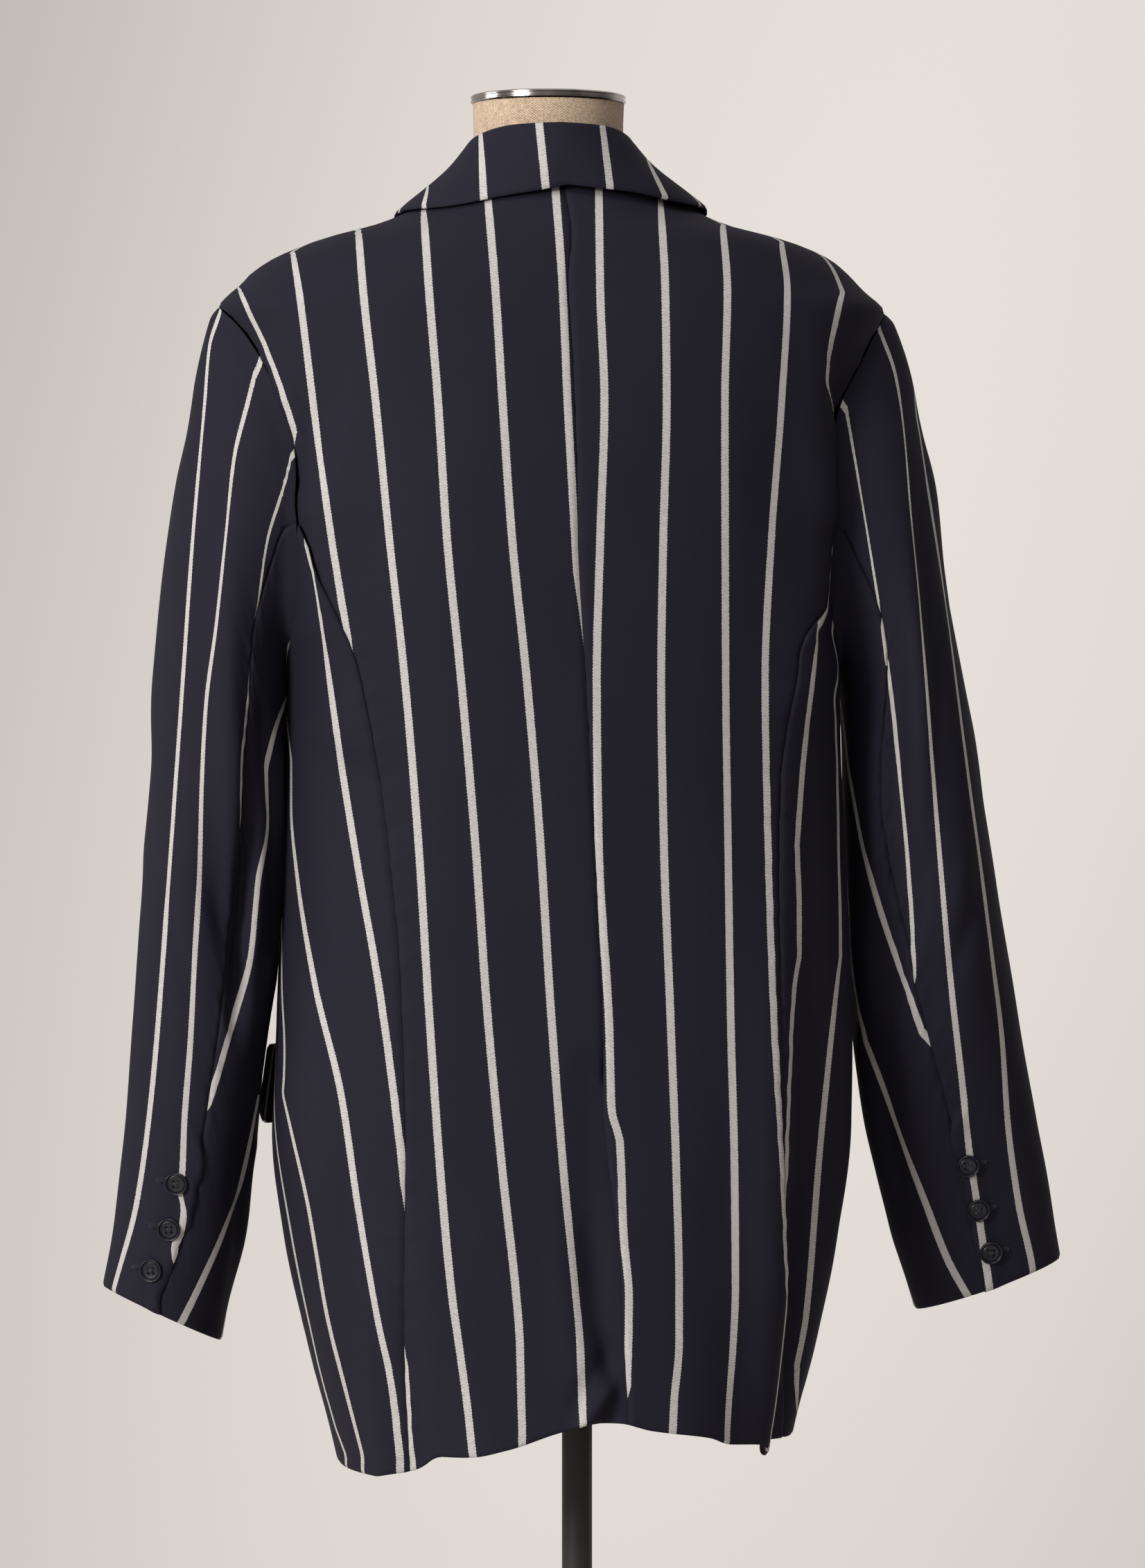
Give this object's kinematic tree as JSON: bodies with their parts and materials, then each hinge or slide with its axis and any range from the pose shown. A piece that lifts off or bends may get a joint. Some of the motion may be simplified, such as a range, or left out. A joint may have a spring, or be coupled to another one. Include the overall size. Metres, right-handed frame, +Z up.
{
  "type": "blazer on a dress form stand",
  "caption": "Long pinstriped navy blazer with notched lapels, flap pockets and open sleeves, worn by a limbless linen dress form on a pole with a flat round base.",
  "frame": {"origin": "centre of the round base's underside, on the pole's axis and on the floor", "axes": "+Z up along the pole, +Y out of the blazer's back, +X to the wearer's left"},
  "size_m": [0.6241, 0.33, 1.4995],
  "materials": {
    "navy_cloth": "fine matt wool twill with thin ivory stripes",
    "navy_button": "satin",
    "linen": "smooth linen",
    "chrome_ring": "polished",
    "black_metal": "satin"
  },
  "bodies": {
    "root": {"back_left": "navy_cloth", "back_right": "navy_cloth", "side_left": "navy_cloth", "side_right": "navy_cloth", "front_left": "navy_cloth", "front_right": "navy_cloth", "lapel_left": "navy_cloth", "lapel_right": "navy_cloth", "collar": "navy_cloth", "flap_left": "navy_cloth", "flap_right": "navy_cloth", "sleeve_top_left": "navy_cloth", "sleeve_top_right": "navy_cloth", "sleeve_under_left": "navy_cloth", "sleeve_under_right": "navy_cloth", "button_cuff_left_1": "navy_button", "button_cuff_left_2": "navy_button", "button_cuff_left_3": "navy_button", "button_cuff_right_1": "navy_button", "button_cuff_right_2": "navy_button", "button_cuff_right_3": "navy_button", "button_front": "navy_button", "form_body": "linen", "neck_cap": "chrome_ring", "pole": "black_metal", "base": "black_metal"}
  },
  "joints": []
}
